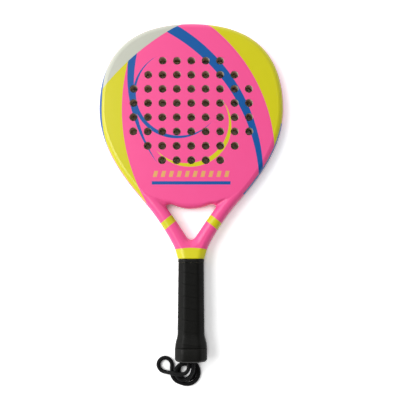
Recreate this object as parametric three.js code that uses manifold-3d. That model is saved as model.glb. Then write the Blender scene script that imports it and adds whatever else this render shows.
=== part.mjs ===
// A beach tennis racket: a hollow frame tube with its throat bridge, a drilled foam core between
// two skins, a wound grip on a two-part handle, and a butt cap with a knotted wrist cord.
// Lengths are millimetres. In the racket's own frame X runs across it, Y runs up it from the butt
// end, and Z is its thickness, with the hitting faces square to Z. It then lies on its back face,
// propped on the butt cap and the far end of the head, with +Z up.

import * as THREE from 'three';
import { mergeVertices } from 'three/addons/utils/BufferGeometryUtils.js';
import Module from 'manifold-3d';

const wasm = await Module();
wasm.setup();

// Outline. The lengths run up the racket from the butt end, each starting where the last one ends.
const handleLength = 139;
const neckLength = 15;
const armLength = 56;
const flankLength = 141;
const crownLength = 122;
const headWidth = 260;
const headThickness = 22;
const armHalfSpread = 59;
const armAngle = THREE.MathUtils.degToRad(39);
const neckHalfWidth = 23.8;
const neckAngle = THREE.MathUtils.degToRad(23);
const armLead = 21.6;
const neckLead = 14;
const stemLead = 4;
const crownSideShare = 0.787;
const crownEndShare = 0.52;
const flankTopShare = 0.476;
const flankFootShare = 0.195;

// Frame tube.
const tubeWidth = 20;
const tubeWall = 2;
const rimRadius = 9.5;
const rimLand = 0.3;
const legGap = 0.6;
const stemWidth = 24.4;
const stemDepth = 18;
const stemRecess = 5;

// Neck block, where the two arms run together above the handle.
const neckFootSideLedge = 2.75;
const neckFootFaceLedge = 2.2;
const neckTopProud = 0.5;
const throatRise = 11.7;
const throatRadius = 8.8;
const throatFlareRise = 15.5;
const throatFlareHalfWidth = 23;
const throatWebDepth = 16;
const throatWebHalfWidth = 20;

// Throat bridge, which closes the head above the throat opening.
const bridgeDrop = 3.5;
const bridgeWidth = 20;
const bridgeRadius = 100;
const bridgeEndRounding = 3.1;

// Faces and core.
const skinThickness = 1.2;
const holeDiameter = 11.2;
const holePitch = 20.2;
const gridDrop = 5;
const holeEdgeWall = 2;
const holeRows = [5, 7, 9, 9, 9, 9, 7, 5];

// Handle.
const shellSideWall = 3.15;
const shellFaceWall = 4;
const gripThickness = 1.8;
const gripPitch = 16;
const gripTurnGap = 0.5;
const gripBevel = 0.7;
const gripRampLength = 23.3;
const collarLength = 4.7;
const collarStandOff = 0.2;
const collarRounding = 0.8;
const chamferShare = 0.44;
const cornerShare = 0.12;

// Butt cap, and the tacks that hold it to the handle.
const capProud = 0.3;
const capRounding = 5;
const capShoulderHeight = 18.7;
const capSkirtLength = 14.3;
const capSkirtWall = 3.95;
const capEndWall = 3;
const tackDrop = 5;
const tackLength = 5;
const tackRadius = 0.8;
const tackHeadRadius = 2.1;
const tackHeadThickness = 0.5;
const tackSeat = 0.5;

// Wrist cord.
const cordDiameter = 5.4;
const cordSpacing = 6;
const cordHoleClearance = 0.5;
const knotWidth = 17;
const knotLength = 9.5;
const knotDepth = 13;
const knotRoom = 2.2;
const cordLead = 5;

// Clearances, and how far a cutting shape runs past what it cuts.
const bondGap = 0.3;
const cutOverrun = 4;

// Facet counts. A full circle in a shape takes two sides for each of its curve segments.
const crownSteps = 13;
const flankSteps = 11;
const armSteps = 6;
const neckSteps = 4;
const quarterSteps = 3;
const boreQuarterSteps = 1;
const heelSteps = 12;
const bridgeSteps = 14;
const holeSides = 10;
const capRoundSteps = 3;
const cordSides = 8;
const cordSteps = 80;
const roundSides = 16;

// Finishes.
const pinkLacquer = new THREE.MeshStandardMaterial({ color: 0xf85b97, roughness: 0.4, metalness: 0 });
const yellowLacquer = new THREE.MeshStandardMaterial({ color: 0xd0c814, roughness: 0.4, metalness: 0 });
const darkFoam = new THREE.MeshStandardMaterial({ color: 0x4a4742, roughness: 0.95, metalness: 0 });
const handleFoam = new THREE.MeshStandardMaterial({ color: 0xb9b19c, roughness: 0.9, metalness: 0 });
const blackGrip = new THREE.MeshStandardMaterial({ color: 0x1c1c1a, roughness: 0.8, metalness: 0 });
const blackRubber = new THREE.MeshStandardMaterial({ color: 0x191917, roughness: 0.6, metalness: 0 });
const blackCord = new THREE.MeshStandardMaterial({ color: 0x0b0b0d, roughness: 0.85, metalness: 0 });
const steel = new THREE.MeshStandardMaterial({ color: 0xb8b8b8, roughness: 0.35, metalness: 1 });

const neckFootHeight = handleLength;
const neckHeight = neckFootHeight + neckLength;
const armHeight = neckHeight + armLength;
const widestHeight = armHeight + flankLength;
const overallLength = widestHeight + crownLength;
const halfThickness = headThickness / 2;
const edgeRadius = Math.min(rimRadius, halfThickness);
const pocketInset = rimRadius + rimLand;
const pocketHeight = halfThickness - skinThickness - bondGap;
const throatHeight = neckHeight + throatRise;
const throatCentreHeight = throatHeight + throatRadius;
const throatFlareHeight = throatCentreHeight + throatFlareRise;
const bridgeHeight = armHeight - bridgeDrop;
const gridHeight = widestHeight - gridDrop;
const palletWidth = stemWidth + 2 * (bondGap + shellSideWall);
const palletDepth = stemDepth + 2 * (bondGap + shellFaceWall);
const palletFootHeight = capEndWall + bondGap + knotLength + knotRoom;
const palletTopHeight = neckFootHeight - bondGap;
const stemFootHeight = palletFootHeight + stemRecess;
const neckFootWidth = palletWidth + 2 * neckFootSideLedge;
const neckFootDepth = palletDepth + 2 * neckFootFaceLedge;
const neckTopDepth = headThickness + 2 * neckTopProud;
const capSkirtHeight = capShoulderHeight + capSkirtLength;
const capSkirtWidth = palletWidth + 2 * capSkirtWall;
const capLip = bondGap + gripThickness + capProud;
const capWidth = capSkirtWidth + 2 * capLip;
const capDepth = skirtDepth(capSkirtWidth) + 2 * capLip;
const tackHeight = capSkirtHeight - tackDrop;
const gripRampHeight = capShoulderHeight + gripRampLength;
const gripFootHeight = capShoulderHeight + bondGap;
const gripTopHeight = palletTopHeight - collarLength - bondGap;
const capCavityWidth = palletWidth + 2 * bondGap;
const capCavityDepth = palletDepth + 2 * bondGap;
const skirtRise = (capSkirtWidth - palletWidth) / (gripRampHeight - capShoulderHeight);

// Joins and cuts work on solids whose corners are shared.
function solidOf(geometry) {
  const bare = geometry.clone();
  bare.deleteAttribute('normal');
  bare.deleteAttribute('uv');
  const shared = mergeVertices(bare);
  return new wasm.Manifold(new wasm.Mesh({
    numProp: 3,
    vertProperties: new Float32Array(shared.attributes.position.array),
    triVerts: new Uint32Array(shared.index.array),
  }));
}

function geometryOf(solid) {
  const mesh = solid.getMesh();
  const geometry = new THREE.BufferGeometry();
  geometry.setAttribute('position', new THREE.BufferAttribute(new Float32Array(mesh.vertProperties), 3));
  geometry.setIndex(new THREE.BufferAttribute(new Uint32Array(mesh.triVerts), 1));
  geometry.computeVertexNormals();
  return geometry;
}

function part(name, solid, material) {
  const mesh = new THREE.Mesh(geometryOf(solid), material);
  mesh.name = name;
  return mesh;
}

// Six times the volume that a closed triangle mesh encloses, negative where it is inside out.
function signedVolume(points, triangles) {
  const cross = new THREE.Vector3();
  return triangles.reduce((sum, [a, b, c]) => (
    sum + cross.crossVectors(points[b], points[c]).dot(points[a])
  ), 0);
}

// A closed solid through a row of rings with equal point counts, with flat fans as its ends.
function loft(rings) {
  const sides = rings[0].length;
  const points = rings.flat();
  const triangles = [];
  for (let ring = 0; ring + 1 < rings.length; ring += 1) {
    for (let side = 0; side < sides; side += 1) {
      const a = ring * sides + side;
      const b = ring * sides + (side + 1) % sides;
      triangles.push([a, b, b + sides], [a, b + sides, a + sides]);
    }
  }
  const last = (rings.length - 1) * sides;
  for (let side = 1; side + 1 < sides; side += 1) {
    triangles.push([0, side + 1, side], [last, last + side, last + side + 1]);
  }
  const outward = signedVolume(points, triangles) > 0;
  const geometry = new THREE.BufferGeometry();
  geometry.setAttribute('position', new THREE.Float32BufferAttribute(points.flatMap((p) => p.toArray()), 3));
  geometry.setIndex(triangles.flatMap((t) => (outward ? t : [t[0], t[2], t[1]])));
  return solidOf(geometry);
}

function box(width, length, depth, x, y, z) {
  return solidOf(new THREE.BoxGeometry(width, length, depth).translate(x, y, z));
}

// A flat outline in the XY plane, given thickness from low to high.
function plate(outline, holes, low, high) {
  const shape = new THREE.Shape(outline);
  shape.holes = holes;
  const geometry = new THREE.ExtrudeGeometry(shape, {
    depth: high - low,
    bevelEnabled: false,
    curveSegments: holeSides / 2,
  });
  return solidOf(geometry.translate(0, 0, low));
}

// Right half of the racket's outline, from the top of the head down to the foot of the stem.
function halfOutline() {
  const armWay = new THREE.Vector2(Math.sin(armAngle), Math.cos(armAngle));
  const neckWay = new THREE.Vector2(Math.sin(neckAngle), Math.cos(neckAngle));
  const tip = new THREE.Vector2(0, overallLength);
  const side = new THREE.Vector2(headWidth / 2, widestHeight);
  const arm = new THREE.Vector2(armHalfSpread, armHeight);
  const neck = new THREE.Vector2(neckHalfWidth, neckHeight);
  const stem = new THREE.Vector2(stemWidth / 2, neckFootHeight);
  const crownRise = overallLength - widestHeight;
  const flankDrop = widestHeight - armHeight;
  const crown = new THREE.CubicBezierCurve(
    tip,
    new THREE.Vector2(crownSideShare * side.x, tip.y),
    new THREE.Vector2(side.x, side.y + crownEndShare * crownRise),
    side,
  );
  const flank = new THREE.CubicBezierCurve(
    side,
    new THREE.Vector2(side.x, side.y - flankTopShare * flankDrop),
    arm.clone().addScaledVector(armWay, flankFootShare * flankDrop),
    arm,
  );
  const throat = new THREE.CubicBezierCurve(
    arm,
    arm.clone().addScaledVector(armWay, -armLead),
    neck.clone().addScaledVector(neckWay, neckLead),
    neck,
  );
  const shoulder = new THREE.CubicBezierCurve(
    neck,
    neck.clone().addScaledVector(neckWay, -stemLead),
    new THREE.Vector2(stem.x, stem.y + stemLead),
    stem,
  );
  const foot = new THREE.Vector2(stem.x, stemFootHeight);
  const runs = [[crown, crownSteps], [flank, flankSteps], [throat, armSteps], [shoulder, neckSteps]];
  const stations = runs.flatMap(([curve, steps]) => (
    curve.getPoints(steps).slice(0, -1).map((point, step) => ({
      point,
      inward: inwardOf(curve.getTangent(step / steps)),
    }))
  ));
  const straightIn = new THREE.Vector2(-1, 0);
  stations.push({ point: stem, inward: straightIn }, { point: foot, inward: straightIn });
  return stations;
}

// The travel direction runs clockwise down the right side, so inwards is to its right.
function inwardOf(tangent) {
  return new THREE.Vector2(tangent.y, -tangent.x).normalize();
}

const rightStations = halfOutline();

function mirrored(stations) {
  return stations.map(({ point, inward }) => ({
    point: new THREE.Vector2(-point.x, point.y),
    inward: new THREE.Vector2(-inward.x, inward.y),
  }));
}

// The racket's outer half width at a height below its widest place.
function halfWidthAt(height) {
  const below = rightStations.findIndex(({ point }) => point.x > 0 && point.y <= height);
  const high = rightStations[below - 1].point;
  const low = rightStations[below].point;
  return THREE.MathUtils.mapLinear(height, low.y, high.y, low.x, high.x);
}

// How wide and how deep the tube is at a station: full size round the head and down the arms, and
// as wide as its half of the neck and handle leaves room for below the throat.
function tubeSizeAt({ point, inward }) {
  const room = Math.abs(inward.x) > 0 ? (Math.abs(point.x) - legGap / 2) / Math.abs(inward.x) : tubeWidth;
  const width = point.y > armHeight ? tubeWidth : Math.min(tubeWidth, room);
  const slim = THREE.MathUtils.smoothstep(point.y, neckFootHeight, throatHeight);
  return { width, depth: THREE.MathUtils.lerp(stemDepth, headThickness, slim) };
}

// The tube's rounded section at a station, grown outwards by a margin or shrunk by a negative one.
function tubeRing(station, margin, steps) {
  const { width, depth } = tubeSizeAt(station);
  const grownWidth = width + 2 * margin;
  const halfDepth = depth / 2 + margin;
  const radius = Math.min(rimRadius + margin, grownWidth / 2, halfDepth);
  const ring = [];
  [[1, 1], [-1, 1], [-1, -1], [1, -1]].forEach(([outer, up]) => {
    for (let step = 0; step <= steps; step += 1) {
      const turn = (step / steps) * (Math.PI / 2);
      const angle = outer * up > 0 ? turn : Math.PI / 2 - turn;
      const across = outer * (grownWidth / 2 - radius + radius * Math.cos(angle));
      const rise = up * (halfDepth - radius + radius * Math.sin(angle));
      const place = station.point.clone().addScaledVector(station.inward, width / 2 - across);
      ring.push(new THREE.Vector3(place.x, place.y, rise));
    }
  });
  return ring;
}

// The tube from the foot of one leg, round the head, to the foot of the other.
function tubeSolid(margin, steps, endOverrun) {
  const loop = [...mirrored(rightStations).reverse(), ...rightStations.slice(1)];
  const rings = loop.map((station) => tubeRing(station, margin, steps));
  [rings[0], rings[rings.length - 1]].forEach((ring) => ring.forEach((p) => { p.y -= endOverrun; }));
  return loft(rings);
}

// Eight flats with eased corners, about the racket's own axis, at one height.
function handleRing(width, depth, height) {
  const corners = [];
  [[1, 1], [-1, 1], [-1, -1], [1, -1]].forEach(([right, up]) => {
    const side = new THREE.Vector2(right * width / 2, up * (1 - chamferShare) * depth / 2);
    const end = new THREE.Vector2(right * (1 - chamferShare) * width / 2, up * depth / 2);
    corners.push(...(right * up > 0 ? [side, end] : [end, side]));
  });
  return corners.flatMap((corner, index) => {
    const before = corners[(index + corners.length - 1) % corners.length];
    const after = corners[(index + 1) % corners.length];
    return [corner.clone().lerp(before, cornerShare), corner.clone().lerp(after, cornerShare)];
  }).map((p) => new THREE.Vector3(p.x, height, p.y));
}

function handlePrism(width, depth, low, high) {
  return loft([handleRing(width, depth, low), handleRing(width, depth, high)]);
}

// What is left open between the arms: a round bottom, with straight sides running out to the arms
// from where they touch the round.
function throatCutter() {
  const rise = throatFlareHeight - throatCentreHeight;
  const reach = Math.hypot(throatFlareHalfWidth, rise);
  const touch = Math.atan2(rise, throatFlareHalfWidth) - Math.acos(throatRadius / reach);
  const opening = new THREE.Shape();
  opening.moveTo(throatFlareHalfWidth, throatFlareHeight + cutOverrun);
  opening.lineTo(-throatFlareHalfWidth, throatFlareHeight + cutOverrun);
  opening.lineTo(-throatFlareHalfWidth, throatFlareHeight);
  opening.absarc(0, throatCentreHeight, throatRadius, Math.PI - touch, 2 * Math.PI + touch, false);
  opening.lineTo(throatFlareHalfWidth, throatFlareHeight);
  const geometry = new THREE.ExtrudeGeometry(opening, {
    depth: 2 * headThickness,
    bevelEnabled: false,
    curveSegments: roundSides / 2,
  });
  return solidOf(geometry.translate(0, 0, -headThickness));
}

// The block in which both arms end, and the strip that bonds the two legs inside the handle.
function neckBlock() {
  const flare = loft([
    handleRing(neckFootWidth, neckFootDepth, neckFootHeight),
    handleRing(2 * neckHalfWidth - 2 * bondGap, neckTopDepth, neckHeight),
    handleRing(2 * throatWebHalfWidth, throatWebDepth, throatHeight),
    handleRing(2 * throatFlareHalfWidth, throatWebDepth, throatFlareHeight),
  ]);
  const bondLength = neckFootHeight - stemFootHeight + cutOverrun;
  const bond = box(
    legGap + 2 * tubeWall, bondLength, stemDepth - 2 * tubeWall,
    0, stemFootHeight + bondLength / 2, 0,
  );
  return flare.subtract(throatCutter()).add(bond);
}

const bridgeHalfSpan = halfWidthAt(bridgeHeight + bridgeWidth) - tubeWidth;
const heelRadius = heelArcRadius();

// The face's lower edge is an arc. The bridge's rounding is as wide as the rim's at the middle, and
// narrows to its own width at the ends.
function heelArcRadius() {
  const bridgeSag = arcHeight(0, bridgeRadius, bridgeHalfSpan);
  const heelSag = bridgeSag + bridgeEndRounding - pocketInset;
  return (bridgeHalfSpan * bridgeHalfSpan + heelSag * heelSag) / (2 * heelSag);
}

// Height of an arc centred on the racket's axis that has its lowest point at a given height.
function arcHeight(lowest, radius, x) {
  return lowest + radius - Math.sqrt(radius * radius - x * x);
}

function heelHeight(inset, x) {
  return arcHeight(bridgeHeight + pocketInset + inset, heelRadius - inset, x);
}

// Outline of what fills the head inside the frame: along the rim at one inset, then back along the
// throat bridge at another.
function faceOutline(rimInset, heelInset) {
  const rim = rightStations.map(({ point, inward }) => point.clone().addScaledVector(inward, rimInset));
  const above = rim.map((p) => (p.x < heelRadius ? p.y - heelHeight(heelInset, Math.abs(p.x)) : p.y));
  const last = above.findIndex((rise) => rise < 0);
  const share = above[last - 1] / (above[last - 1] - above[last]);
  const corner = rim[last - 1].clone().lerp(rim[last], share);
  const right = [...rim.slice(1, last), corner];
  const heel = [];
  for (let step = 1; step < heelSteps; step += 1) {
    const x = corner.x * (1 - 2 * step / heelSteps);
    heel.push(new THREE.Vector2(x, heelHeight(heelInset, Math.abs(x))));
  }
  const left = right.map((p) => new THREE.Vector2(-p.x, p.y)).reverse();
  return [rim[0], ...right, ...heel, ...left];
}

// The places of the grid that lie inside the core with enough of it left at its edge.
function holeCentres() {
  const edge = coreOutline();
  const places = holeRows.flatMap((count, row) => (
    Array.from({ length: count }, (_, column) => new THREE.Vector2(
      (column - (count - 1) / 2) * holePitch,
      gridHeight + ((holeRows.length - 1) / 2 - row) * holePitch,
    ))
  ));
  const room = holeDiameter / 2 + holeEdgeWall;
  return places.filter((place) => (
    isWithin(place, edge) && edge.every((point, index) => {
      const along = edge[(index + 1) % edge.length].clone().sub(point);
      const reach = place.clone().sub(point);
      const share = THREE.MathUtils.clamp(reach.dot(along) / along.lengthSq(), 0, 1);
      return reach.addScaledVector(along, -share).length() > room;
    })
  ));
}

// Whether a place lies inside a closed outline, by counting the sides that lie to its right.
function isWithin(place, outline) {
  return outline.filter((point, index) => {
    const next = outline[(index + 1) % outline.length];
    if ((point.y > place.y) === (next.y > place.y)) return false;
    return place.x < THREE.MathUtils.mapLinear(place.y, point.y, next.y, point.x, next.x);
  }).length % 2 === 1;
}

function drilledHoles() {
  return holeCentres().map(({ x, y }) => (
    new THREE.Path().absarc(x, y, holeDiameter / 2, 0, 2 * Math.PI, false)
  ));
}

function skinPockets() {
  const outline = faceOutline(pocketInset, 0);
  const front = plate(outline, [], pocketHeight, halfThickness + cutOverrun);
  const back = plate(outline, [], -halfThickness - cutOverrun, -pocketHeight);
  return front.add(back);
}

function frameTube() {
  const outer = tubeSolid(0, quarterSteps, 0).add(neckBlock());
  const bore = tubeSolid(-tubeWall, boreQuarterSteps, cutOverrun);
  return outer.subtract(bore).subtract(skinPockets());
}

// The bridge is a run of upright sections, each rounded at its throat side.
function throatBridge() {
  const rings = [];
  for (let step = 0; step <= bridgeSteps; step += 1) {
    const x = bridgeHalfSpan * (2 * step / bridgeSteps - 1);
    const low = arcHeight(bridgeHeight, bridgeRadius, x);
    const flat = heelHeight(0, x);
    const back = heelHeight(bridgeWidth - pocketInset, x);
    const ring = [new THREE.Vector3(x, back, halfThickness), new THREE.Vector3(x, back, -halfThickness)];
    [-1, 1].forEach((up) => {
      for (let turn = 0; turn <= quarterSteps; turn += 1) {
        const angle = (turn / quarterSteps) * (Math.PI / 2);
        const swing = up < 0 ? Math.PI / 2 - angle : angle;
        const y = flat - (flat - low) * Math.cos(swing);
        ring.push(new THREE.Vector3(x, y, up * (halfThickness - edgeRadius + edgeRadius * Math.sin(swing))));
      }
    });
    rings.push(ring);
  }
  return loft(rings).subtract(tubeSolid(bondGap, quarterSteps, 0)).subtract(skinPockets());
}

function coreOutline() {
  return faceOutline(tubeWidth + bondGap, bridgeWidth - pocketInset + bondGap);
}

function faceCore() {
  return plate(coreOutline(), drilledHoles(), -pocketHeight, pocketHeight);
}

function faceSkin(low, high) {
  return plate(faceOutline(pocketInset + bondGap, bondGap), drilledHoles(), low, high);
}

// Half of the handle's moulded body, on one side of the racket's middle plane.
function handleShell(up) {
  const body = handlePrism(palletWidth, palletDepth, palletFootHeight, palletTopHeight);
  const length = palletTopHeight - palletFootHeight + 2 * cutOverrun;
  const middle = (palletTopHeight + palletFootHeight) / 2;
  const pocket = box(stemWidth + 2 * bondGap, length, stemDepth + 2 * bondGap, 0, middle, 0);
  const half = box(palletWidth, length, palletDepth, 0, middle, up * (palletDepth + bondGap) / 2);
  return body.subtract(pocket).intersect(half).subtract(tackClearance(up));
}

// Depth of the butt cap's skirt at one of its widths: it is as thick on the faces as at the sides.
function skirtDepth(width) {
  return width - palletWidth + palletDepth;
}

function buttCap() {
  const rings = [];
  for (let step = 0; step <= capRoundSteps; step += 1) {
    const angle = (step / capRoundSteps) * (Math.PI / 2);
    const trim = 2 * capRounding * (1 - Math.sin(angle));
    rings.push(handleRing(capWidth - trim, capDepth - trim, capRounding * (1 - Math.cos(angle))));
  }
  const skirtTopWidth = capSkirtWidth - skirtRise * (capSkirtHeight - capShoulderHeight);
  rings.push(handleRing(capWidth, capDepth, capShoulderHeight));
  rings.push(handleRing(capSkirtWidth, skirtDepth(capSkirtWidth), capShoulderHeight));
  rings.push(handleRing(skirtTopWidth, skirtDepth(skirtTopWidth), capSkirtHeight));
  const cavity = handlePrism(capCavityWidth, capCavityDepth, capEndWall, capSkirtHeight + cutOverrun);
  return loft(rings)
    .subtract(cavity)
    .subtract(cordSlot())
    .subtract(tackClearance(1))
    .subtract(tackClearance(-1));
}

// The slot in the cap's end wall that lets both strands of the cord through, side by side.
function cordSlot() {
  const radius = cordDiameter / 2 + cordHoleClearance;
  const slot = new THREE.Shape();
  slot.absarc(cordSpacing / 2, 0, radius, -Math.PI / 2, Math.PI / 2, false);
  slot.absarc(-cordSpacing / 2, 0, radius, Math.PI / 2, 3 * Math.PI / 2, false);
  const geometry = new THREE.ExtrudeGeometry(slot, {
    depth: capEndWall + 2 * cutOverrun,
    bevelEnabled: false,
    curveSegments: cordSides / 2,
  });
  return solidOf(geometry.rotateX(-Math.PI / 2).translate(0, -cutOverrun, 0));
}

function tackSeatDepth() {
  return capCavityDepth / 2 + tackSeat;
}

// A tack's profile turned about its own axis, with its head outwards, grown by a margin.
function tackSolid(up, margin, headRoom) {
  const seat = tackSeatDepth();
  const profile = [
    new THREE.Vector2(0, seat - tackLength - margin),
    new THREE.Vector2(tackRadius + margin, seat - tackLength - margin),
    new THREE.Vector2(tackRadius + margin, seat - margin),
    new THREE.Vector2(tackHeadRadius + margin, seat - margin),
    new THREE.Vector2(tackHeadRadius + margin, seat + tackHeadThickness + headRoom),
    new THREE.Vector2(0, seat + tackHeadThickness + headRoom),
  ];
  const turned = new THREE.LatheGeometry(profile, roundSides);
  return solidOf(turned.rotateX(up * Math.PI / 2).translate(0, tackHeight, 0));
}

function tackClearance(up) {
  return tackSolid(up, bondGap, cutOverrun);
}

// Width of the body that the grip is wound on, at a height.
function gripBaseWidth(height) {
  return palletWidth + skirtRise * Math.max(0, gripRampHeight - height);
}

// One tape wound up the handle in a single helix, with bevelled edges, and cut square at both ends.
function baseGrip() {
  const unit = handleRing(2, 2, 0);
  const tapeWidth = gripPitch - gripTurnGap;
  const turns = Math.ceil((gripTopHeight - gripFootHeight) / gripPitch) + 2;
  const section = [
    [bondGap, -tapeWidth / 2],
    [bondGap + gripThickness - gripBevel, -tapeWidth / 2],
    [bondGap + gripThickness, gripBevel - tapeWidth / 2],
    [bondGap + gripThickness, tapeWidth / 2 - gripBevel],
    [bondGap + gripThickness - gripBevel, tapeWidth / 2],
    [bondGap, tapeWidth / 2],
  ];
  const rings = [];
  for (let step = 0; step <= turns * unit.length; step += 1) {
    const { x: across, z: rise } = unit[step % unit.length];
    const middle = gripFootHeight - gripPitch + gripPitch * step / unit.length;
    rings.push(section.map(([out, along]) => {
      const width = gripBaseWidth(middle + along);
      const reach = new THREE.Vector2(width / 2 + out, skirtDepth(width) / 2 + out);
      return new THREE.Vector3(across * reach.x, middle + along, rise * reach.y);
    }));
  }
  const gaps = rings.slice(unit.length).map((ring, index) => (
    ring[0].distanceTo(rings[index][section.length - 1])
  ));
  console.log(`grip: least gap between turns ${Math.min(...gaps).toFixed(2)} mm`);
  const length = gripTopHeight - gripFootHeight;
  return loft(rings).intersect(box(capWidth, length, capWidth, 0, gripFootHeight + length / 2, 0));
}

// The rubber ring that covers the top edge of the grip.
function gripCollar() {
  const foot = palletTopHeight - collarLength;
  const width = palletWidth + 2 * (bondGap + gripThickness + collarStandOff);
  const depth = palletDepth + 2 * (bondGap + gripThickness + collarStandOff);
  const eased = 2 * collarRounding;
  const ring = loft([
    handleRing(width - eased, depth - eased, foot),
    handleRing(width, depth, foot + collarRounding),
    handleRing(width, depth, palletTopHeight - collarRounding),
    handleRing(width - eased, depth - eased, palletTopHeight),
  ]);
  const bore = handlePrism(capCavityWidth, capCavityDepth, foot - cutOverrun, palletTopHeight + cutOverrun);
  return ring.subtract(bore);
}

// The stopper knot inside the cap, with the two strands that come out through the slot.
function cordKnot() {
  const knot = new THREE.SphereGeometry(1, roundSides, cordSides)
    .scale(knotWidth / 2, knotLength / 2, knotDepth / 2)
    .translate(0, capEndWall + bondGap + knotLength / 2, 0);
  const strands = [-1, 1].map((side) => {
    const length = capEndWall + knotLength / 2;
    const strand = new THREE.CylinderGeometry(cordDiameter / 2, cordDiameter / 2, length, roundSides);
    return solidOf(strand.translate(side * cordSpacing / 2, length / 2, 0));
  });
  return strands.reduce((whole, strand) => whole.add(strand), solidOf(knot));
}

// The loose cord's route, in order: across, distance out past the butt end, and height.
// It leaves the left strand, makes the small end loop, lies in two turns with a third over them,
// and comes back.
const cordRoute = [
  [-3.3, 9.8, 19.6], [-4.9, 13.8, 19.1], [-8.2, 16.9, 18.3], [-12.7, 18.5, 17.3], [-17.7, 18.8, 16.3],
  [-22.7, 18.3, 15.1], [-27.4, 17.8, 12.4], [-31.6, 17.8, 8.7], [-36.1, 17.6, 5.4], [-40.8, 16.4, 3.7],
  [-44.3, 13.1, 2.8], [-45.8, 8.4, 2.8], [-44.7, 3.8, 2.8], [-41.5, 0.3, 2.8], [-36.9, -1.1, 2.8],
  [-32.3, 0.0, 2.8], [-28.7, 3.2, 2.8], [-27.1, 7.3, 2.8], [-26.9, 13.0, 2.8], [-27.1, 19.0, 2.8],
  [-25.4, 25.2, 2.8], [-21.2, 30.2, 2.8], [-14.1, 33.3, 2.8], [-7.5, 35.0, 2.8], [-0.2, 34.1, 2.8],
  [5.7, 30.3, 2.8], [9.5, 24.4, 2.8], [10.4, 17.4, 2.8], [8.3, 10.7, 2.8], [3.5, 5.4, 2.8],
  [-3.0, 2.9, 2.8], [-9.8, 4.0, 2.8], [-14.8, 8.1, 2.8], [-17.2, 13.5, 2.8], [-17.1, 18.8, 2.8],
  [-15.2, 23.6, 2.8], [-11.6, 27.3, 2.8], [-6.5, 29.1, 2.8], [-1.3, 28.1, 2.8], [2.7, 24.6, 2.8],
  [4.5, 19.5, 2.8], [3.5, 14.3, 3.1], [0.0, 10.2, 4.9], [-4.7, 7.4, 7.2], [-9.5, 6.2, 8.7],
  [-15.7, 7.4, 9.0], [-19.3, 11.0, 9.0], [-21.0, 15.6, 9.0], [-20.6, 20.4, 9.0], [-18.1, 24.6, 9.0],
  [-14.0, 27.3, 9.0], [-9.2, 27.7, 9.4], [-4.8, 25.8, 10.5], [-1.2, 22.4, 12.1], [0.9, 18.5, 14.5],
  [2.2, 14.3, 17.0], [2.9, 9.8, 18.9],
];

// The loose cord between its two ends at the cap, as one tube that never touches itself.
function wristCord(strandEnds, outward, buttY) {
  const [start, finish] = strandEnds.map((end) => end.clone().addScaledVector(outward, bondGap));
  const [startRun, finishRun] = [start, finish].map((end) => (
    end.clone().addScaledVector(outward, cordLead)
  ));
  const loose = cordRoute.map(([across, out, height]) => new THREE.Vector3(across, buttY - out, height));
  const points = [start, startRun, ...loose, finishRun, finish];
  const route = new THREE.CatmullRomCurve3(points, false, 'centripetal');
  const section = new THREE.Shape().absarc(0, 0, cordDiameter / 2, 0, 2 * Math.PI, false);
  const geometry = new THREE.ExtrudeGeometry(section, {
    steps: cordSteps,
    curveSegments: cordSides / 2,
    extrudePath: route,
    bevelEnabled: false,
  });
  reportCord(route);
  return solidOf(geometry);
}

// Prints the cord's length and the least gap between stretches that lie apart along it.
function reportCord(route) {
  const samples = route.getSpacedPoints(4 * cordSteps);
  const length = route.getLength();
  const spacing = length / (4 * cordSteps);
  const apart = Math.ceil(3 * cordDiameter / spacing);
  let least = Infinity;
  samples.forEach((a, index) => samples.slice(index + apart).forEach((b) => {
    least = Math.min(least, a.distanceTo(b) - cordDiameter);
  }));
  console.log(`cord: length ${length.toFixed(0)} mm, least gap to itself ${least.toFixed(2)} mm`);
}

// How far the racket tips about X when it lies on its back face: each pass finds the lowest corners
// of the head and of the cap at the last tilt, and lays both on the ground.
function restTilt(head, cap) {
  const corners = [head, cap].map(({ geometry: { attributes: { position } } }) => (
    Array.from({ length: position.count }, (_, i) => new THREE.Vector2(position.getY(i), position.getZ(i)))
  ));
  let tilt = 0;
  for (let pass = 0; pass < 4; pass += 1) {
    const [toe, heel] = corners.map((points) => points.reduce((lowest, p) => (
      heightOf(p, tilt) < heightOf(lowest, tilt) ? p : lowest
    )));
    tilt = Math.atan2(toe.y - heel.y, toe.x - heel.x);
  }
  return tilt;
}

function heightOf(point, tilt) {
  return point.y * Math.cos(tilt) - point.x * Math.sin(tilt);
}

const racket = new THREE.Group();
racket.add(
  part('frame_tube', frameTube(), pinkLacquer),
  part('throat_bridge', throatBridge(), pinkLacquer),
  part('face_core', faceCore(), darkFoam),
  part('front_skin', faceSkin(halfThickness - skinThickness, halfThickness), pinkLacquer),
  part('back_skin', faceSkin(-halfThickness, skinThickness - halfThickness), yellowLacquer),
  part('handle_shell_front', handleShell(1), handleFoam),
  part('handle_shell_back', handleShell(-1), handleFoam),
  part('butt_cap', buttCap(), blackRubber),
  part('cap_tack_front', tackSolid(1, 0, 0), steel),
  part('cap_tack_back', tackSolid(-1, 0, 0), steel),
  part('base_grip', baseGrip(), blackGrip),
  part('grip_collar', gripCollar(), blackRubber),
  part('cord_knot', cordKnot(), blackCord),
);

racket.rotation.x = -restTilt(racket.getObjectByName('frame_tube'), racket.getObjectByName('butt_cap'));
racket.updateMatrixWorld(true);
const bounds = new THREE.Box3().setFromObject(racket, true);
racket.position.set(0, -(bounds.min.y + bounds.max.y) / 2, -bounds.min.z);
racket.updateMatrixWorld(true);

const strandEnds = [-1, 1].map((side) => (
  racket.localToWorld(new THREE.Vector3(side * cordSpacing / 2, 0, 0))
));
const outward = new THREE.Vector3(0, -1, 0).transformDirection(racket.matrixWorld);
const racketWithCord = new THREE.Group();
racketWithCord.add(
  racket,
  part('wrist_cord', wristCord(strandEnds, outward, strandEnds[0].y), blackCord),
);

export default racketWithCord;
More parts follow.
